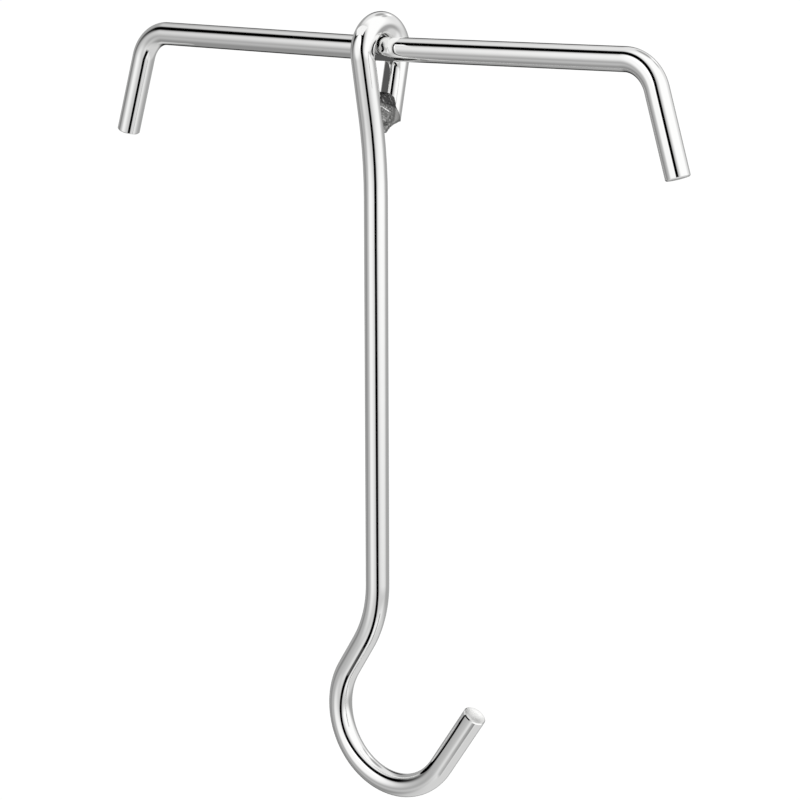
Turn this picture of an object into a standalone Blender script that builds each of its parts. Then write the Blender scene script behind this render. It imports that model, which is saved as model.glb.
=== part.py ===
"""Meat hook: a crossbar with bent-down ends, and a hook rod that swings on it.

Metres, +Z up. The crossbar's axis passes through the origin along X, and the hook rod's eye hangs on it there.
The shank runs down -Z, the hook's tip is on the +X side, and the front of the eye faces -Y. The eye is closed by
weld beads that join the rod's cut tail to its own shank.
"""

from math import cos, pi, radians, sin, tan

import bmesh
import bpy
from mathutils import Matrix, Vector

# ---- stock ------------------------------------------------------------------------------------------------
ROD_DIA = 0.0080
ROD_R = ROD_DIA / 2
GAP = 0.0003
ROUND_RESOLUTION = 10
BEND_STEP = radians(9.0)

# ---- crossbar ---------------------------------------------------------------------------------------------
CORNER_X = 0.1070
ARM_RISE = radians(0.6)
CORNER_BEND_R = 0.0123
LEG_SPLAY = radians(17.4)
LEG_RUN = 0.0281

# ---- hook rod: eye ----------------------------------------------------------------------------------------
EYE_R = 0.00915
EYE_CENTRE_Y = -0.0002
EYE_CENTRE_Z = ROD_DIA + GAP - EYE_R
FRONT_LEAN = radians(10.9)
TAIL_LEAN = radians(13.0)
TAIL_RUN = 0.0213
SHANK_Y = -0.0029
SHANK_BEND_R = 0.150

# ---- hook rod: shank and hook -----------------------------------------------------------------------------
SHANK_END_Z = -0.1816
KICK_BEND_R = 0.0404
KICK_ANGLE = radians(32.8)
KICK_RUN = 0.0123
BOWL_R = 0.0245
ARM_LEAN = radians(34.9)
ARM_RUN = 0.0257
ROD_SIDE_TILT = radians(-0.2)
ROD_SWING = radians(0.0)

# ---- weld beads -------------------------------------------------------------------------------------------
BEAD_STATIONS = ((-0.0146, 0.0011), (-0.0154, 0.0023), (-0.0180, 0.0027), (-0.0210, 0.0026), (-0.0234, 0.0022))
BEAD_OUT = 0.0023
BEAD_SPLIT = 0.00015
TOE_HALF_WIDTH = 0.0029
TOE_HALF_DEPTH = 0.0028
TOE_HALF_HEIGHT = 0.0024
TOE_Y = 0.0009
TOE_Z = -0.0262
HALF_BLOCK = 0.0200

STEEL = (0.86, 0.86, 0.85, 1.0)
WELD = (0.55, 0.55, 0.54, 1.0)


def clear_scene():
    for obj in list(bpy.data.objects):
        bpy.data.objects.remove(obj, do_unlink=True)


def new_collection(name):
    group = bpy.data.collections.new(name)
    bpy.context.scene.collection.children.link(group)
    return group


def metal(name, colour, roughness):
    material = bpy.data.materials.new(name)
    material.use_nodes = True
    shader = material.node_tree.nodes["Principled BSDF"]
    shader.inputs["Base Color"].default_value = colour
    shader.inputs["Metallic"].default_value = 1.0
    shader.inputs["Roughness"].default_value = roughness
    return material


class RodPath:
    """The centreline of a bent rod, laid down as straight runs and bends."""

    def __init__(self, start, heading):
        self.points = [Vector(start)]
        self.heading = Vector(heading).normalized()

    def run(self, length):
        self.points.append(self.points[-1] + self.heading * length)

    def bend(self, radius, angle, axis):
        axis = Vector(axis)
        steps = max(2, round(abs(angle) / BEND_STEP))
        towards = axis.cross(self.heading).normalized()
        if angle < 0:
            towards = -towards
        centre = self.points[-1] + towards * radius
        spoke = self.points[-1] - centre
        for step in range(1, steps + 1):
            turn = Matrix.Rotation(angle * step / steps, 3, axis)
            self.points.append(centre + turn @ spoke)
        self.heading = Matrix.Rotation(angle, 3, axis) @ self.heading


def crossbar_points():
    """From one cut end to the other: each arm rises slightly outwards, then bends down into a splayed leg."""
    turn = pi / 2 + ARM_RISE - LEG_SPLAY
    path = RodPath((0, 0, 0), (cos(ARM_RISE), 0, sin(ARM_RISE)))
    path.run(CORNER_X / cos(ARM_RISE) - CORNER_BEND_R * tan(turn / 2))
    path.bend(CORNER_BEND_R, turn, (0, 1, 0))
    path.run(LEG_RUN)
    right = path.points
    left = [Vector((-p.x, p.y, p.z)) for p in right[1:]]
    return left[::-1] + right


def hang(points):
    """Turns points laid out for a plumb rod to the attitude in which the rod hangs from the crossbar."""
    tilt = Matrix.Rotation(ROD_SWING, 3, "X") @ Matrix.Rotation(ROD_SIDE_TILT, 3, "Y")
    return [tilt @ p for p in points]


def hook_rod_points(longer_tail=0.0):
    """From the cut tail behind the shank, up and over the crossbar, down the shank and round the hook."""
    eye_centre = Vector((0, EYE_CENTRE_Y, EYE_CENTRE_Z))
    up_tail = Vector((0, sin(TAIL_LEAN), cos(TAIL_LEAN)))
    out_tail = Vector((0, cos(TAIL_LEAN), -sin(TAIL_LEAN)))
    tail_run = TAIL_RUN + longer_tail
    path = RodPath(eye_centre + out_tail * EYE_R - up_tail * tail_run, up_tail)
    path.run(tail_run)
    path.bend(EYE_R, pi + TAIL_LEAN + FRONT_LEAN, (1, 0, 0))
    bend_shift = SHANK_BEND_R * (1 - cos(FRONT_LEAN))
    path.run((SHANK_Y - path.points[-1].y - bend_shift) / sin(FRONT_LEAN))
    path.bend(SHANK_BEND_R, -FRONT_LEAN, (1, 0, 0))
    path.run(path.points[-1].z - SHANK_END_Z)
    path.bend(KICK_BEND_R, KICK_ANGLE, (0, 1, 0))
    path.run(KICK_RUN)
    path.bend(BOWL_R, -(pi + KICK_ANGLE - ARM_LEAN), (0, 1, 0))
    path.run(ARM_RUN)
    return hang(path.points)


def rod(name, points, radius, material, group):
    """A solid round rod with flat cut ends, as a closed mesh. The radius is one number, or one for each point."""
    radii = radius if isinstance(radius, list) else [radius] * len(points)
    curve = bpy.data.curves.new(name + "_line", "CURVE")
    curve.dimensions = "3D"
    curve.bevel_depth = 1.0
    curve.bevel_resolution = ROUND_RESOLUTION
    curve.use_fill_caps = True
    curve.twist_mode = "MINIMUM"
    spline = curve.splines.new("POLY")
    spline.points.add(len(points) - 1)
    for target, point, point_radius in zip(spline.points, points, radii):
        target.co = (*point, 1.0)
        target.radius = point_radius
    guide = bpy.data.objects.new(name + "_line", curve)
    group.objects.link(guide)
    bpy.context.view_layer.update()
    evaluated = guide.evaluated_get(bpy.context.evaluated_depsgraph_get())
    mesh = bpy.data.meshes.new_from_object(evaluated)
    bpy.data.objects.remove(guide, do_unlink=True)
    work = bmesh.new()
    work.from_mesh(mesh)
    bmesh.ops.remove_doubles(work, verts=work.verts, dist=0.00001)
    bmesh.ops.recalc_face_normals(work, faces=work.faces)
    work.to_mesh(mesh)
    work.free()
    return add_mesh(name, mesh, material, group)


def add_mesh(name, mesh, material, group):
    mesh.name = name
    mesh.materials.clear()
    mesh.materials.append(material)
    mesh.shade_smooth()
    mesh.set_sharp_from_angle(angle=radians(35))
    obj = bpy.data.objects.new(name, mesh)
    group.objects.link(obj)
    return obj


def blob(name, centre, half_sizes, material, group):
    """An ellipsoid of weld metal."""
    mesh = bpy.data.meshes.new(name)
    work = bmesh.new()
    size = Matrix.Diagonal((*half_sizes, 1.0))
    place = Matrix.Translation(centre) @ size
    bmesh.ops.create_uvsphere(work, u_segments=20, v_segments=12, radius=1.0, matrix=place)
    work.to_mesh(mesh)
    work.free()
    return add_mesh(name, mesh, material, group)


def cut(obj, cutter):
    modifier = obj.modifiers.new("clear_" + cutter.name, "BOOLEAN")
    modifier.operation = "DIFFERENCE"
    modifier.solver = "EXACT"
    modifier.object = cutter


def hide_cutter(obj):
    obj.hide_render = True
    obj.display_type = "WIRE"


def groove_point(z):
    """The middle of the groove between tail and shank front strand, at a height z."""
    tail_y = EYE_CENTRE_Y + EYE_R / cos(TAIL_LEAN) + (z - EYE_CENTRE_Z) * tan(TAIL_LEAN)
    front_y = EYE_CENTRE_Y - EYE_R / cos(FRONT_LEAN) - (z - EYE_CENTRE_Z) * tan(FRONT_LEAN)
    return (tail_y + front_y) / 2


def side_bead_points(side):
    return hang([Vector((side * BEAD_OUT, groove_point(z), z)) for z, _ in BEAD_STATIONS])


def half_block(name, side, material, group):
    """A block that fills everything on one side of the hook rod's middle plane, up to half the beads' gap past it."""
    mesh = bpy.data.meshes.new(name)
    work = bmesh.new()
    centre = Vector((side * (HALF_BLOCK - BEAD_SPLIT), 0, BEAD_STATIONS[2][0]))
    bmesh.ops.create_cube(work, size=2 * HALF_BLOCK, matrix=Matrix.Translation(centre))
    work.to_mesh(mesh)
    work.free()
    block = add_mesh(name, mesh, material, group)
    hide_cutter(block)
    return block


def main():
    clear_scene()
    group = new_collection("meat_hook")
    cutters = new_collection("cutters")
    steel = metal("polished_steel", STEEL, 0.08)
    weld = metal("weld_metal", WELD, 0.35)
    rod("crossbar", crossbar_points(), ROD_R, steel, group)
    rod("hook_rod", hook_rod_points(), ROD_R, steel, group)

    clearance = rod("rod_clearance", hook_rod_points(GAP), ROD_R + GAP, steel, cutters)
    hide_cutter(clearance)
    bead_radii = [radius for _, radius in BEAD_STATIONS]
    for name, side in (("tail_weld_right", 1), ("tail_weld_left", -1)):
        bead = rod(name, side_bead_points(side), bead_radii, weld, group)
        cut(bead, clearance)
        cut(bead, half_block(name + "_limit", -side, steel, cutters))
    toe_at = hang([Vector((0, TOE_Y, TOE_Z))])[0]
    toe = blob("tail_weld_toe", toe_at, (TOE_HALF_WIDTH, TOE_HALF_DEPTH, TOE_HALF_HEIGHT), weld, group)
    cut(toe, clearance)


if __name__ == "__main__":
    main()
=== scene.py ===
"""Looks of the meat hook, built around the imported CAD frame.

The two CAD rods are replaced by finely swept ones with dressed cut ends, and the three weld beads by one
rippled lump. All lengths are in metres, in the same frame as the CAD: the middle of the crossbar is the
origin, and the crossbar runs along X.
"""

from math import cos, pi, radians, sin, tan

import bmesh
import bpy
from mathutils import Matrix, Vector, noise


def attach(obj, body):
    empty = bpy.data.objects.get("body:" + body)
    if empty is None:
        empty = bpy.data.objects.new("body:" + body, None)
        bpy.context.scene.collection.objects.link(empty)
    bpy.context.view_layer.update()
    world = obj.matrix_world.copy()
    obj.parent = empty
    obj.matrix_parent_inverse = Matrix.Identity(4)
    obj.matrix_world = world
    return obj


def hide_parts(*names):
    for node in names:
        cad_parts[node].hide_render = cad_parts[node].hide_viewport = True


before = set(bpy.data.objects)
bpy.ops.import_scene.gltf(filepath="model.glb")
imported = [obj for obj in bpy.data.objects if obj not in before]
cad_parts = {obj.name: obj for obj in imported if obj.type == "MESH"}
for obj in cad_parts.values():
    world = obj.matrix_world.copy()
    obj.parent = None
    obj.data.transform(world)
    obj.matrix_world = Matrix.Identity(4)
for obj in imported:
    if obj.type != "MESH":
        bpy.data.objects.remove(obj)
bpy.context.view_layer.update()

# ---- the rods' route, as in the CAD -----------------------------------------------------------------------
ROD_R = 0.0040
GAP = 0.0003
CORNER_X = 0.1070
ARM_RISE = radians(0.6)
CORNER_BEND_R = 0.0123
LEG_SPLAY = radians(17.4)
LEG_RUN = 0.0281
EYE_R = 0.00915
EYE_CENTRE_Y = -0.0002
EYE_CENTRE_Z = 2 * ROD_R + GAP - EYE_R
FRONT_LEAN = radians(10.9)
TAIL_LEAN = radians(13.0)
TAIL_RUN = 0.0213
SHANK_Y = -0.0029
SHANK_BEND_R = 0.150
SHANK_END_Z = -0.1816
KICK_BEND_R = 0.0404
KICK_ANGLE = radians(32.8)
KICK_RUN = 0.0123
BOWL_R = 0.0245
ARM_LEAN = radians(34.9)
ARM_RUN = 0.0257
ROD_SIDE_TILT = radians(-0.2)

# ---- how finely a rod is swept ----------------------------------------------------------------------------
ROD_SIDES = 96
RING_STEP = radians(2.0)
SHARP_ANGLE = radians(30.0)
# The chamfer round a cut end, and the height and fullness of the shallow crown that grinding leaves inside
# it.
CHAMFER = 0.00035
CROWN = 0.00022
CROWN_POWER = 2.6
CROWN_RINGS = 12

# ---- camera -----------------------------------------------------------------------------------------------
# Azimuth 0 looks from -Y and 90 from +X (degrees). CAMERA_ASIDE is how far to the right of the Z axis it
# aims.
CAMERA_AZIMUTH = 39.47
CAMERA_ELEVATION = 11.23
CAMERA_DISTANCE = 0.9227
CAMERA_ASIDE = 0.0063
CAMERA_AIM_Z = -0.1181
CAMERA_CLIP = 0.01
LENS_MM = 122.8
SENSOR_MM = 36.0


def new_object(name, data):
    """A mesh or a camera as an object in the scene."""
    obj = bpy.data.objects.new(name, data)
    bpy.context.scene.collection.objects.link(obj)
    return obj


def flat_sheet(name, corners):
    """One flat face. Its front is the side from which the corners run counter-clockwise."""
    mesh = bpy.data.meshes.new(name)
    mesh.from_pydata(corners, [], [tuple(range(len(corners)))])
    return new_object(name, mesh)


def direction(azimuth, elevation):
    """The unit vector at an azimuth and an elevation (degrees). Azimuth 0 is towards -Y, 90 towards +X."""
    azimuth = radians(azimuth)
    elevation = radians(elevation)
    return Vector((sin(azimuth) * cos(elevation), -cos(azimuth) * cos(elevation), sin(elevation)))


class RodPath:
    """The centreline of a bent rod, as (point, heading) pairs along straight runs and bends."""

    def __init__(self, start, heading):
        self.at = Vector(start)
        self.heading = Vector(heading).normalized()
        self.stations = [(self.at.copy(), self.heading.copy())]

    def run(self, length):
        self.at = self.at + self.heading * length
        self.stations.append((self.at.copy(), self.heading.copy()))

    def bend(self, radius, angle, axis):
        axis = Vector(axis)
        steps = max(2, round(abs(angle) / RING_STEP))
        towards = axis.cross(self.heading).normalized()
        if angle < 0:
            towards = -towards
        centre = self.at + towards * radius
        spoke = self.at - centre
        start_heading = self.heading.copy()
        for step in range(1, steps + 1):
            turn = Matrix.Rotation(angle * step / steps, 3, axis)
            self.at = centre + turn @ spoke
            self.heading = turn @ start_heading
            self.stations.append((self.at.copy(), self.heading.copy()))


def crossbar_stations():
    """The crossbar's route from its left cut end to its right one. The left half mirrors the right."""
    turn = pi / 2 + ARM_RISE - LEG_SPLAY
    path = RodPath((0, 0, 0), (cos(ARM_RISE), 0, sin(ARM_RISE)))
    path.run(CORNER_X / cos(ARM_RISE) - CORNER_BEND_R * tan(turn / 2))
    path.bend(CORNER_BEND_R, turn, (0, 1, 0))
    path.run(LEG_RUN)
    right = path.stations[1:]
    left = [(Vector((-at.x, at.y, at.z)), Vector((along.x, along.y, -along.z))) for at, along in right]
    middle = [(Vector((0, 0, 0)), Vector((1, 0, 0)))]
    return left[::-1] + middle + right


def hook_rod_stations():
    """The hook rod's route, tail first, then eye, shank, kick, bowl and arm, turned by its side tilt."""
    eye_centre = Vector((0, EYE_CENTRE_Y, EYE_CENTRE_Z))
    up_tail = Vector((0, sin(TAIL_LEAN), cos(TAIL_LEAN)))
    out_tail = Vector((0, cos(TAIL_LEAN), -sin(TAIL_LEAN)))
    path = RodPath(eye_centre + out_tail * EYE_R - up_tail * TAIL_RUN, up_tail)
    path.run(TAIL_RUN)
    path.bend(EYE_R, pi + TAIL_LEAN + FRONT_LEAN, (1, 0, 0))
    bend_shift = SHANK_BEND_R * (1 - cos(FRONT_LEAN))
    path.run((SHANK_Y - path.at.y - bend_shift) / sin(FRONT_LEAN))
    path.bend(SHANK_BEND_R, -FRONT_LEAN, (1, 0, 0))
    path.run(path.at.z - SHANK_END_Z)
    path.bend(KICK_BEND_R, KICK_ANGLE, (0, 1, 0))
    path.run(KICK_RUN)
    path.bend(BOWL_R, -(pi + KICK_ANGLE - ARM_LEAN), (0, 1, 0))
    path.run(ARM_RUN)
    tilt = Matrix.Rotation(ROD_SIDE_TILT, 3, "Y")
    return [(tilt @ at, tilt @ along) for at, along in path.stations]


def ring_frames(stations):
    """(point, side, other side) at each station, turned along with the rod and never about it."""
    along = stations[0][1]
    side = along.orthogonal().normalized()
    frames = []
    for at, heading in stations:
        side = along.rotation_difference(heading) @ side
        side = (side - heading * side.dot(heading)).normalized()
        along = heading
        frames.append((at, side, heading.cross(side)))
    return frames


def crown_end(work, loop, at, outwards):
    """Close a rod's end with a very shallow crown, in the second material."""
    outer = loop
    for ring in range(1, CROWN_RINGS):
        share = 1 - ring / CROWN_RINGS
        top = at + outwards * CROWN * (1 - share ** CROWN_POWER)
        inner = [work.verts.new(top + (vert.co - at) * share) for vert in loop]
        for i in range(ROD_SIDES):
            j = (i + 1) % ROD_SIDES
            work.faces.new((outer[i], outer[j], inner[j], inner[i])).material_index = 1
        outer = inner
    middle = work.verts.new(at + outwards * CROWN)
    for i in range(ROD_SIDES):
        work.faces.new((outer[i], outer[(i + 1) % ROD_SIDES], middle)).material_index = 1


def fine_rod(name, stations, body, replaced):
    """A rod swept as a fine tube, with a small chamfer round each cut end."""
    first_at, first_along = stations[0]
    last_at, last_along = stations[-1]
    inner = [(first_at + first_along * CHAMFER, first_along)] + stations[1:-1]
    inner = inner + [(last_at - last_along * CHAMFER, last_along)]
    rings = [(stations[0], ROD_R - CHAMFER)] + [(station, ROD_R) for station in inner]
    rings = rings + [(stations[-1], ROD_R - CHAMFER)]
    work = bmesh.new()
    loops = []
    for (at, side, other), (_, radius) in zip(ring_frames([station for station, _ in rings]), rings):
        turns = [2 * pi * i / ROD_SIDES for i in range(ROD_SIDES)]
        loops.append([work.verts.new(at + (side * cos(t) + other * sin(t)) * radius) for t in turns])
    for here, there in zip(loops, loops[1:]):
        for i in range(ROD_SIDES):
            j = (i + 1) % ROD_SIDES
            work.faces.new((here[i], here[j], there[j], there[i]))
    crown_end(work, loops[0], first_at, -first_along)
    crown_end(work, loops[-1], last_at, last_along)
    mesh = bpy.data.meshes.new(name)
    bmesh.ops.recalc_face_normals(work, faces=work.faces)
    work.to_mesh(mesh)
    work.free()
    mesh.shade_smooth()
    mesh.set_sharp_from_angle(angle=SHARP_ANGLE)
    obj = new_object(name, mesh)
    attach(obj, body)
    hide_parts(*replaced)
    return obj


# ---- weld -------------------------------------------------------------------------------------------------
# The weld between the two strands, as flat ellipsoids: height of the middle, half-width across the eye (X)
# and half-width from strand to strand (Y). All as if the rod hung plumb, before its side tilt.
WEB_STATIONS = (
    (-0.0153, 0.0026, 0.0042),
    (-0.0161, 0.0036, 0.0053),
    (-0.0178, 0.0041, 0.0054),
    (-0.0195, 0.0042, 0.0053),
    (-0.0215, 0.0042, 0.0052),
    (-0.0236, 0.0041, 0.0046),
)
# The fillet under the tail's end, running down on to the shank: height, middle in Y, and radius.
TOE_STATIONS = (
    (-0.0238, 0.0036, 0.0041),
    (-0.0244, 0.0026, 0.0040),
    (-0.0249, 0.0012, 0.0036),
    (-0.0257, -0.0002, 0.0032),
    (-0.0272, -0.0014, 0.0029),
)
STATION_STEPS = 8
WEB_HALF_HEIGHT = 0.0010
WEB_SQUARENESS = 0.65
TOE_HALF_HEIGHT = 0.0005
# The sleeve of weld metal round the end of the tail, cut off by a slanting plane: it wraps the end and
# leaves the back of the tail bare higher up.
SLEEVE_R = 0.0042
SLEEVE_SLANT = 1.9
SLEEVE_CUT_Z = -0.0212
SLEEVE_BELOW_TAIL = 0.0002
SLEEVE_LENGTH = 0.0130
BALL_SIDES = 32
BALL_RINGS = 14
SLEEVE_SIDES = 96
WELD_VOXEL = 0.00020
WELD_SMOOTHING = 18
WELD_SMOOTHING_FACTOR = 0.5
# Ripples run across the weld on a slant. "Across" is the distance out to the side and towards the tail.
ACROSS_X = 0.772
ACROSS_Y = 0.636
RIPPLE_PITCH = 0.00095
RIPPLE_SLANT = 0.74
RIPPLE_HEIGHT = 0.00018
RIPPLE_SHARPNESS = 0.6
RIPPLE_MIDDLE = 0.6
RIPPLE_WANDER = 0.00045
RIPPLE_WANDER_SIZE = 3 * RIPPLE_PITCH
RIPPLE_FADE_FROM = 0.0030
RIPPLE_FADE_TO = 0.0046
RIDGE_AT = -0.0183
RIDGE_HALF_WIDTH = 0.00028
RIDGE_HEIGHT = 0.00040
LUMP_HEIGHT = 0.00022
LUMP_SIZE = 0.0008


def groove_middle(z):
    """Half way between the tail and the front strand, at a height z."""
    tail_y = EYE_CENTRE_Y + EYE_R / cos(TAIL_LEAN) + (z - EYE_CENTRE_Z) * tan(TAIL_LEAN)
    front_y = EYE_CENTRE_Y - EYE_R / cos(FRONT_LEAN) - (z - EYE_CENTRE_Z) * tan(FRONT_LEAN)
    return (tail_y + front_y) / 2


def between(stations):
    """The stations with evenly spaced ones filled in between each two."""
    for here, there in zip(stations, stations[1:]):
        for step in range(STATION_STEPS):
            share = step / STATION_STEPS
            yield tuple(a + (b - a) * share for a, b in zip(here, there))
    yield stations[-1]


def ball_shape():
    """Points and faces of one unit ball."""
    points = [Vector((0, 0, 1))]
    for ring in range(1, BALL_RINGS):
        tilt = pi * ring / BALL_RINGS
        for side in range(BALL_SIDES):
            turn = 2 * pi * side / BALL_SIDES
            points.append(Vector((sin(tilt) * cos(turn), sin(tilt) * sin(turn), cos(tilt))))
    points.append(Vector((0, 0, -1)))
    faces = []
    last = len(points) - 1
    for side in range(BALL_SIDES):
        beside = (side + 1) % BALL_SIDES
        faces.append((0, 1 + side, 1 + beside))
        for ring in range(BALL_RINGS - 2):
            above = 1 + ring * BALL_SIDES
            below = above + BALL_SIDES
            faces.append((above + side, below + side, below + beside, above + beside))
        faces.append((last, last - BALL_SIDES + beside, last - BALL_SIDES + side))
    return points, faces


def squared(at, power):
    """A point of the unit ball, moved outwards to make the ball squarer when it's looked at along Z."""
    girth = max(1e-9, (at.x * at.x + at.y * at.y) ** 0.5)
    grown = [girth * abs(side / girth) ** power * (1 if side > 0 else -1) for side in (at.x, at.y)]
    return Vector((*grown, at.z))


def tail_sleeve():
    """A cylinder round the tail's end, cut off by the slanting plane, as (points, faces)."""
    end, up_tail = hook_rod_stations()[0]
    turned = up_tail.to_track_quat("Z", "X").to_matrix().to_4x4()
    middle = end + up_tail * (SLEEVE_LENGTH / 2 - SLEEVE_BELOW_TAIL)
    work = bmesh.new()
    bmesh.ops.create_cone(work, cap_ends=True, segments=SLEEVE_SIDES, radius1=SLEEVE_R, radius2=SLEEVE_R,
                          depth=SLEEVE_LENGTH, matrix=Matrix.Translation(middle) @ turned)
    axis_y = EYE_CENTRE_Y + EYE_R / cos(TAIL_LEAN) + (SLEEVE_CUT_Z - EYE_CENTRE_Z) * tan(TAIL_LEAN)
    normal = Vector((0, SLEEVE_SLANT, 1)).normalized()
    cut = bmesh.ops.bisect_plane(work, geom=work.verts[:] + work.edges[:] + work.faces[:],
                                 plane_co=(0, axis_y, SLEEVE_CUT_Z), plane_no=normal, clear_outer=True)
    edges = [item for item in cut["geom_cut"] if isinstance(item, bmesh.types.BMEdge)]
    bmesh.ops.contextual_create(work, geom=edges)
    work.verts.index_update()
    points = [vert.co.copy() for vert in work.verts]
    faces = [tuple(vert.index for vert in face.verts) for face in work.faces]
    work.free()
    return points, faces


def smooth_share(value, low, high):
    """0 below low and 1 above high, with a smooth step between."""
    share = min(1.0, max(0.0, (value - low) / (high - low)))
    return share * share * (3 - 2 * share)


def weld_relief(at):
    """How far the weld's surface stands out at a point: ripples, one high ridge and small lumps."""
    across = ACROSS_X * abs(at.x) + ACROSS_Y * at.y
    along = at.z + RIPPLE_SLANT * across + noise.noise(at / RIPPLE_WANDER_SIZE) * RIPPLE_WANDER
    rippled = 1 - smooth_share(across, RIPPLE_FADE_FROM, RIPPLE_FADE_TO)
    crest = abs(sin(pi * along / RIPPLE_PITCH)) ** RIPPLE_SHARPNESS - RIPPLE_MIDDLE
    ridge = 1 - smooth_share(abs(along - RIDGE_AT), 0.0, RIDGE_HALF_WIDTH)
    lump = noise.noise(at / LUMP_SIZE)
    return rippled * (crest * RIPPLE_HEIGHT + ridge * RIDGE_HEIGHT + lump * LUMP_HEIGHT)


def weld_lump():
    """The weld that closes the eye, as one rippled lump laid round the end of the tail."""
    hung = Matrix.Rotation(ROD_SIDE_TILT, 3, "Y")
    blobs = [((0, groove_middle(z), z), (half_x, half_y, WEB_HALF_HEIGHT))
             for z, half_x, half_y in between(WEB_STATIONS)]
    blobs += [((0, y, z), (radius, radius, TOE_HALF_HEIGHT)) for z, y, radius in between(TOE_STATIONS)]
    ball, ball_faces = ball_shape()
    points, faces = tail_sleeve()
    for middle, sizes in blobs:
        first = len(points)
        shape = Matrix.Diagonal(sizes)
        squareness = WEB_SQUARENESS if sizes[0] != sizes[1] else 1.0
        points += [hung @ (Vector(middle) + shape @ squared(at, squareness)) for at in ball]
        faces += [tuple(first + corner for corner in face) for face in ball_faces]
    rough = bpy.data.meshes.new("weld_blobs")
    rough.from_pydata(points, [], faces)
    obj = new_object("tail_weld_bead", rough)
    remesh = obj.modifiers.new("fuse", "REMESH")
    remesh.mode = "VOXEL"
    remesh.voxel_size = WELD_VOXEL
    smooth = obj.modifiers.new("smooth", "SMOOTH")
    smooth.factor = WELD_SMOOTHING_FACTOR
    smooth.iterations = WELD_SMOOTHING
    bpy.context.view_layer.update()
    fused = bpy.data.meshes.new_from_object(obj.evaluated_get(bpy.context.evaluated_depsgraph_get()))
    obj.modifiers.clear()
    obj.data = fused
    fused.name = "tail_weld_bead"
    bpy.data.meshes.remove(rough)
    normals = [vertex.normal.copy() for vertex in fused.vertices]
    for vertex, normal in zip(fused.vertices, normals):
        vertex.co = vertex.co + normal * weld_relief(vertex.co)
    fused.shade_smooth()
    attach(obj, "hook")
    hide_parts("tail_weld_right", "tail_weld_left", "tail_weld_toe")
    return obj


# ---- materials --------------------------------------------------------------------------------------------
# A noise scale is in waves per metre, and a bump distance in metres.
POLISH_GREY = (0.90, 0.90, 0.895, 1.0)
PATCH_SCALE = 90.0
PATCH_FROM = 0.35
PATCH_TO = 0.75
POLISH_ROUGHNESS = 0.030
PATCH_ROUGHNESS = 0.060
WAVE_SCALE = 160.0
WAVE_SHARE = 0.6
GRAIN_SCALE = 4200.0
GRAIN_SHARE = 0.004
POLISH_BUMP = 0.00002

CUT_GREY = (0.88, 0.88, 0.87, 1.0)
SCRATCH_SCALES = (400.0, 9000.0, 400.0)
CUT_ROUGHNESS_LEAST = 0.12
CUT_ROUGHNESS_MOST = 0.22
CUT_BUMP = 0.00001

# WELD_DARK is partly heat tint and partly painted shade. The near-white is a painted highlight, for the
# glints and the ridge.
WELD_BRIGHT = (0.285, 0.285, 0.28, 1.0)
WELD_DARK = (0.055, 0.055, 0.055, 1.0)
PAINTED_HIGHLIGHT = (0.95, 0.95, 0.94, 1.0)
WELD_ROUGHNESS_LEAST = 0.18
WELD_ROUGHNESS_MOST = 0.34
WELD_GRAIN_SCALE = 2600.0
WELD_BUMP = 0.00005
# A _NOISE pair holds the two noise levels between which an effect rises from its least to its most.
GRAIN_NOISE = (0.3, 0.7)
# The pits are painted shade: small dark spots. The glints are painted highlights: small near-white spots.
PIT_SCALE = 1500.0
PIT_NOISE = (0.47, 0.66)
PIT_SHARE = 0.60
GLINT_SCALE = 1150.0
GLINT_NOISE = (0.56, 0.70)
GLINT_SHARE = 0.35
RIDGE_ENDS_FROM = 0.0026
RIDGE_ENDS_TO = 0.0034
# The top of the weld is darker, partly heat tint and partly painted shade of the hollow between the strands.
# It ends along a slanting, mottled line.
HEAT_AND_SHADE_SLANT = 0.43
HEAT_AND_SHADE_FROM = -0.0181
HEAT_AND_SHADE_TO = -0.0168
HEAT_AND_SHADE_MOTTLE = 0.0016
HEAT_AND_SHADE_MOTTLE_SCALE = 700.0


class Nodes:
    """Short ways to add shader nodes. A value is a number, a vector or another node's output."""

    def __init__(self, tree):
        self.tree = tree

    def add(self, kind, inputs=(), **settings):
        node = self.tree.nodes.new("ShaderNode" + kind)
        for setting, value in settings.items():
            setattr(node, setting, value)
        for key, value in dict(inputs).items():
            if isinstance(value, bpy.types.NodeSocket):
                self.tree.links.new(value, node.inputs[key])
            else:
                node.inputs[key].default_value = value
        return node

    def math(self, operation, *values):
        return self.add("Math", enumerate(values), operation=operation).outputs[0]

    def dot(self, vector, other):
        return self.add("VectorMath", {0: vector, 1: other}, operation="DOT_PRODUCT").outputs["Value"]

    def noise(self, vector, scale, detail=2.0):
        inputs = {"Vector": vector, "Scale": scale, "Detail": detail}
        return self.add("TexNoise", inputs).outputs["Fac"]

    def smooth_step(self, value, low, high, at_low, at_high):
        inputs = {"Value": value, "From Min": low, "From Max": high, "To Min": at_low, "To Max": at_high}
        return self.add("MapRange", inputs, interpolation_type="SMOOTHSTEP").outputs["Result"]

    def bump(self, height, distance):
        return self.add("Bump", {"Height": height, "Distance": distance, "Strength": 1.0}).outputs[0]

    def mix(self, share, colour, other):
        """From one colour to another, by a share from 0 to 1."""
        return self.add("Mix", {0: share, 6: colour, 7: other}, data_type="RGBA").outputs[2]


def metal(name):
    """A metal material, its shader, its nodes and the place on the object, from which its patterns start."""
    material = bpy.data.materials.new(name)
    material.use_nodes = True
    shader = material.node_tree.nodes["Principled BSDF"]
    shader.inputs["Metallic"].default_value = 1.0
    make = Nodes(material.node_tree)
    return material, shader, make, make.add("TexCoord").outputs["Object"]


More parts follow.
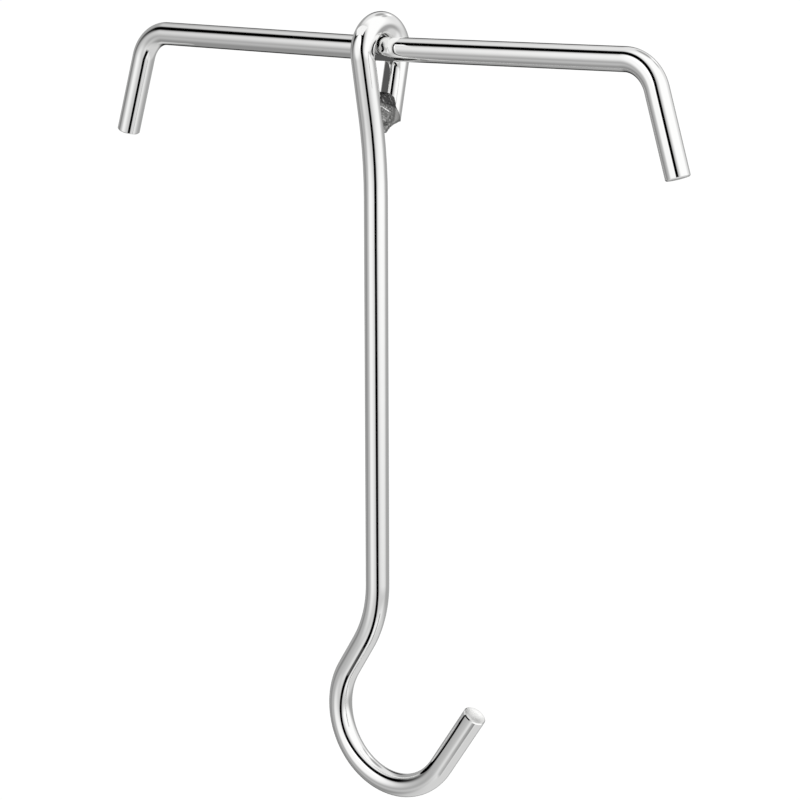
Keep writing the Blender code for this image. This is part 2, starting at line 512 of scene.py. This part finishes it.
def steel_material():
    """Bright polished rod: even gloss with a few duller patches, and a very faint waviness and grain."""
    material, shader, make, place = metal("polished_steel")
    shader.inputs["Base Color"].default_value = POLISH_GREY
    patches = make.noise(place, PATCH_SCALE)
    roughness = make.smooth_step(patches, PATCH_FROM, PATCH_TO, POLISH_ROUGHNESS, PATCH_ROUGHNESS)
    make.tree.links.new(roughness, shader.inputs["Roughness"])
    waves = make.math("MULTIPLY", make.noise(place, WAVE_SCALE, detail=1.0), WAVE_SHARE)
    grain = make.math("MULTIPLY", make.noise(place, GRAIN_SCALE, detail=1.0), GRAIN_SHARE)
    height = make.math("ADD", waves, grain)
    make.tree.links.new(make.bump(height, POLISH_BUMP), shader.inputs["Normal"])
    return material


def cut_material():
    """A sawn and lightly ground rod end: straight fine scratches."""
    material, shader, make, place = metal("cut_steel")
    shader.inputs["Base Color"].default_value = CUT_GREY
    stretched = make.add("Mapping", {"Vector": place, "Scale": SCRATCH_SCALES}).outputs[0]
    scratches = make.noise(stretched, 1.0, detail=3.0)
    roughness = make.smooth_step(scratches, *GRAIN_NOISE, CUT_ROUGHNESS_LEAST, CUT_ROUGHNESS_MOST)
    make.tree.links.new(roughness, shader.inputs["Roughness"])
    make.tree.links.new(make.bump(scratches, CUT_BUMP), shader.inputs["Normal"])
    return material


def weld_colour(make, place):
    """Grey, with heat tint and painted shade at the top, painted shade in pits, and painted highlights in
    small glints and along one ridge.
    """
    axes = make.add("SeparateXYZ", {0: place}).outputs
    across = make.math("MULTIPLY", make.math("ABSOLUTE", axes["X"]), ACROSS_X)
    across = make.math("ADD", across, make.math("MULTIPLY", axes["Y"], ACROSS_Y))
    # Darker at the top: partly heat tint, partly painted shade of the hollow between the strands.
    mottle = make.math("SUBTRACT", make.noise(place, HEAT_AND_SHADE_MOTTLE_SCALE, detail=3.0), 0.5)
    mottle = make.math("MULTIPLY", mottle, HEAT_AND_SHADE_MOTTLE)
    height = make.math("ADD", axes["Z"], make.math("MULTIPLY", across, HEAT_AND_SHADE_SLANT))
    height = make.math("ADD", height, mottle)
    colour = make.mix(make.smooth_step(height, HEAT_AND_SHADE_FROM, HEAT_AND_SHADE_TO, 0.0, 1.0), WELD_BRIGHT, WELD_DARK)

    rippled = make.smooth_step(across, RIPPLE_FADE_FROM, RIPPLE_FADE_TO, 1.0, 0.0)
    # Painted shade: small dark pits on the rippled part.
    pits = make.smooth_step(make.noise(place, PIT_SCALE), *PIT_NOISE, 0.0, PIT_SHARE)
    colour = make.mix(make.math("MULTIPLY", pits, rippled), colour, WELD_DARK)
    # Painted highlights: small near-white glints on the rippled part.
    glints = make.smooth_step(make.noise(place, GLINT_SCALE), *GLINT_NOISE, 0.0, GLINT_SHARE)
    colour = make.mix(make.math("MULTIPLY", glints, rippled), colour, PAINTED_HIGHLIGHT)

    # A painted highlight along the one high ridge, fading out to the sides.
    along = make.math("ADD", axes["Z"], make.math("MULTIPLY", across, RIPPLE_SLANT))
    off_ridge = make.math("ABSOLUTE", make.math("SUBTRACT", along, RIDGE_AT))
    ridge = make.smooth_step(off_ridge, RIDGE_HALF_WIDTH / 3, RIDGE_HALF_WIDTH, 1.0, 0.0)
    ridge_ends = make.smooth_step(across, RIDGE_ENDS_FROM, RIDGE_ENDS_TO, 1.0, 0.0)
    return make.mix(make.math("MULTIPLY", ridge, ridge_ends), colour, PAINTED_HIGHLIGHT)


def weld_material():
    """Weld metal with a fine, rough grain."""
    material, shader, make, place = metal("weld_metal")
    make.tree.links.new(weld_colour(make, place), shader.inputs["Base Color"])
    grain = make.noise(place, WELD_GRAIN_SCALE)
    roughness = make.smooth_step(grain, *GRAIN_NOISE, WELD_ROUGHNESS_LEAST, WELD_ROUGHNESS_MOST)
    make.tree.links.new(roughness, shader.inputs["Roughness"])
    make.tree.links.new(make.bump(grain, WELD_BUMP), shader.inputs["Normal"])
    return material


# ---- studio -----------------------------------------------------------------------------------------------
# Soft panels round the object, as seen from it: azimuth and elevation of the middle, half-angle, softness
# (all in degrees) and level. A negative level is a grey flag.
AMBIENT = 0.4
PANELS = (
    (-15, -5, 50, 15, 0.8),      # the white sheet in front
    (-10, 10, 60, 20, -0.8),     # a flag over it
    (-15, 15, 35, 15, 0.4),      # a lamp in its upper part
    (130, -75, 45, 10, 0.3),     # light from below
    (95, 60, 75, 10, 0.45),      # a high sheet on the right
    (50, 20, 85, 10, 0.25),      # a wide fill from the camera's side
    (-130, -25, 15, 10, -0.4),   # a low flag behind on the left
    (-140, 20, 10, 5, -0.4),     # a flag above it
    (-80, -45, 30, 15, -0.1),    # a thin low flag on the left
    (180, 35, 6, 3, 0.4),        # a small lamp behind
    (190, 55, 12, 4, -0.45),     # a flag above it
    (160, 45, 7, 3, -0.4),       # a flag to the right of it
)
DARKEST = 0.02
PALE = 1.06
# The black rim of the opening in front of the object: a ring about a middle direction, slightly oval and
# slightly three-cornered. All in degrees.
RIM_AZIMUTH = -15
RIM_ELEVATION = -2
RIM_ANGLE = 55.5
RIM_OVAL = -7.0
RIM_OVAL_TURN = -30
RIM_TRI = 4.0
RIM_TRI_TURN = -5
RIM_HALF_WIDTH = 11.5
RIM_SOFT = 2.0
# The rim is missing over this sector: its middle and half-width, as turns about the rim's middle (degrees).
RIM_GAP_MIDDLE = -38
RIM_GAP_HALF = 72
RIM_GAP_SOFT = 7
FLOOR_Z = -0.32
FLOOR_HALF = 6.0
FLOOR_WHITE = (0.97, 0.97, 0.97, 1.0)
# Three small cards, seen in reflections only and each from its face alone. The black one is a crescent
# beside the hook's arm, in a plane across X: the middle (Y, Z) and radius of its arc, the angles of its ends
# from +Y towards +Z (degrees), its half-width, and its half-width at the lower end, to which it narrows past
# BLACK_CARD_NARROWS.
BLACK_CARD_X = 0.0120
BLACK_CARD_MIDDLE = (-0.0045, -0.2285)
BLACK_CARD_RADIUS = 0.0125
BLACK_CARD_FROM = 130
BLACK_CARD_NARROWS = 190
BLACK_CARD_TO = 280
BLACK_CARD_HALF = 0.0050
BLACK_CARD_END_HALF = 0.0010
BLACK_CARD_STEPS = 24
BLACK_CARD_LEVEL = 0.0
# The grey one is painted shade: a dim card inside the eye under the crossbar, seen only in reflections, that
# darkens the bar there. Its place along X, and its corners (Y, Z). The white one lies over the front of the
# eye and faces down: its height, and its corners (X, Y).
GREY_CARD_X = -0.0020
GREY_CARD = ((-0.0080, -0.0160), (0.0050, -0.0160), (0.0050, -0.0045), (-0.0080, -0.0045))
GREY_CARD_LEVEL = 0.10
WHITE_CARD_Z = 0.0105
WHITE_CARD = ((-0.0090, -0.0104), (0.0035, -0.0104), (0.0035, -0.0170), (-0.0090, -0.0170))
WHITE_CARD_LEVEL = 1.0
WHITE = (1.0, 1.0, 1.0, 1.0)


def panel_light(make, towards):
    """The room's level with the panels' levels added, in a direction."""
    light = AMBIENT
    for azimuth, elevation, reach, soft, level in PANELS:
        away = make.math("ARCCOSINE", make.dot(towards, direction(azimuth, elevation)))
        panel = make.smooth_step(away, radians(reach - soft), radians(reach + soft), level, 0.0)
        light = make.math("ADD", light, panel)
    return make.math("MAXIMUM", light, DARKEST)


def beside_rim(make, towards):
    """0 on the black rim and 1 beside it and in its gap, in a direction."""
    middle = direction(RIM_AZIMUTH, RIM_ELEVATION)
    upward = direction(RIM_AZIMUTH, RIM_ELEVATION + 90)
    away = make.math("ARCCOSINE", make.dot(towards, middle))
    turn = make.math("ARCTAN2", make.dot(towards, upward), make.dot(towards, middle.cross(upward)))
    rim = radians(RIM_ANGLE)
    for lobes, swell, start in ((2, RIM_OVAL, RIM_OVAL_TURN), (3, RIM_TRI, RIM_TRI_TURN)):
        lobe_turn = make.math("MULTIPLY", make.math("SUBTRACT", turn, radians(start)), lobes)
        lobe = make.math("MULTIPLY", make.math("COSINE", lobe_turn), radians(swell))
        rim = make.math("ADD", rim, lobe)
    off_rim = make.math("ABSOLUTE", make.math("SUBTRACT", away, rim))
    rim_ends = radians(RIM_HALF_WIDTH - RIM_SOFT), radians(RIM_HALF_WIDTH + RIM_SOFT)
    beside = make.smooth_step(off_rim, *rim_ends, 0.0, 1.0)
    off_gap = make.math("ABSOLUTE", make.math("SUBTRACT", turn, radians(RIM_GAP_MIDDLE)))
    gap_ends = radians(RIM_GAP_HALF - RIM_GAP_SOFT), radians(RIM_GAP_HALF + RIM_GAP_SOFT)
    return make.math("MAXIMUM", beside, make.smooth_step(off_gap, *gap_ends, 1.0, 0.0))


def studio_world():
    """Soft panels and a black-rimmed opening, seen in reflections only, and plain pale light otherwise."""
    world = bpy.data.worlds.new("studio")
    world.use_nodes = True
    world.cycles.sampling_method = "NONE"
    bpy.context.scene.world = world
    world.node_tree.nodes.clear()
    make = Nodes(world.node_tree)
    towards = make.add("TexCoord").outputs["Generated"]
    light = make.math("MULTIPLY", panel_light(make, towards), beside_rim(make, towards))
    reflected = make.add("Background", {"Color": WHITE, "Strength": light}).outputs[0]
    plain = make.add("Background", {"Color": WHITE, "Strength": PALE}).outputs[0]
    is_reflection = make.add("LightPath").outputs["Is Glossy Ray"]
    seen = make.add("MixShader", {0: is_reflection, 1: plain, 2: reflected}).outputs[0]
    make.add("OutputWorld", {"Surface": seen})


def pale_floor():
    """A plain matt floor, left out of reflections."""
    corners = [(side * FLOOR_HALF, depth * FLOOR_HALF, FLOOR_Z)
               for side, depth in ((-1, -1), (1, -1), (1, 1), (-1, 1))]
    floor = flat_sheet("floor", corners)
    material = bpy.data.materials.new("floor")
    material.use_nodes = True
    shader = material.node_tree.nodes["Principled BSDF"]
    shader.inputs["Base Color"].default_value = FLOOR_WHITE
    shader.inputs["Roughness"].default_value = 1.0
    shader.inputs["Specular IOR Level"].default_value = 0.0
    floor.data.materials.append(material)
    floor.visible_glossy = False


def card(name, corners, level):
    """A card of one light level, seen in reflections only and only from its front."""
    sheet = flat_sheet(name, corners)
    material = bpy.data.materials.new(name)
    material.use_nodes = True
    material.node_tree.nodes.clear()
    make = Nodes(material.node_tree)
    face = make.add("Emission", {"Color": WHITE, "Strength": level}).outputs[0]
    clear = make.add("BsdfTransparent").outputs[0]
    behind = make.add("NewGeometry").outputs["Backfacing"]
    surface = make.add("MixShader", {0: behind, 1: face, 2: clear}).outputs[0]
    make.add("OutputMaterial", {"Surface": surface})
    sheet.data.materials.append(material)
    sheet.visible_camera = False
    sheet.visible_diffuse = False
    sheet.visible_shadow = False
    sheet.visible_transmission = False


def crescent():
    """The outline (Y, Z) of the black card, counter-clockwise."""
    outer, inner = [], []
    for step in range(BLACK_CARD_STEPS + 1):
        angle = BLACK_CARD_FROM + (BLACK_CARD_TO - BLACK_CARD_FROM) * step / BLACK_CARD_STEPS
        narrowing = max(0.0, angle - BLACK_CARD_NARROWS) / (BLACK_CARD_TO - BLACK_CARD_NARROWS)
        half = BLACK_CARD_HALF + (BLACK_CARD_END_HALF - BLACK_CARD_HALF) * narrowing
        for side, reach in ((outer, BLACK_CARD_RADIUS + half), (inner, BLACK_CARD_RADIUS - half)):
            side.append((BLACK_CARD_MIDDLE[0] + reach * cos(radians(angle)),
                         BLACK_CARD_MIDDLE[1] + reach * sin(radians(angle))))
    return outer + inner[::-1]


def cards():
    """The black and the grey card face +X, and the white one faces down."""
    card("black_card", [(BLACK_CARD_X, y, z) for y, z in crescent()], BLACK_CARD_LEVEL)
    card("painted_shade_card", [(GREY_CARD_X, y, z) for y, z in GREY_CARD], GREY_CARD_LEVEL)
    card("white_card", [(x, y, WHITE_CARD_Z) for x, y in WHITE_CARD], WHITE_CARD_LEVEL)


def place_camera():
    """A long lens, from the front right and a little above."""
    back = direction(CAMERA_AZIMUTH, CAMERA_ELEVATION)
    right = direction(CAMERA_AZIMUTH + 90, 0)
    up = back.cross(right)
    camera = bpy.data.cameras.new("camera")
    camera.lens = LENS_MM
    camera.sensor_width = SENSOR_MM
    camera.clip_start = CAMERA_CLIP
    holder = new_object("camera", camera)
    place = Matrix((right, up, back)).transposed().to_4x4()
    place.translation = right * CAMERA_ASIDE + Vector((0, 0, CAMERA_AIM_Z)) + back * CAMERA_DISTANCE
    holder.matrix_world = place
    bpy.context.scene.camera = holder


def main():
    place_camera()
    crossbar = fine_rod("crossbar_polished", crossbar_stations(), "crossbar", ["crossbar"])
    hook_rod = fine_rod("hook_rod_polished", hook_rod_stations(), "hook", ["hook_rod"])
    steel = steel_material()
    cut = cut_material()
    for rod in (crossbar, hook_rod):
        rod.data.materials.append(steel)
        rod.data.materials.append(cut)
    weld = weld_lump()
    weld.data.materials.append(weld_material())
    studio_world()
    pale_floor()
    cards()
    bpy.context.scene.view_settings.view_transform = "Standard"


main()
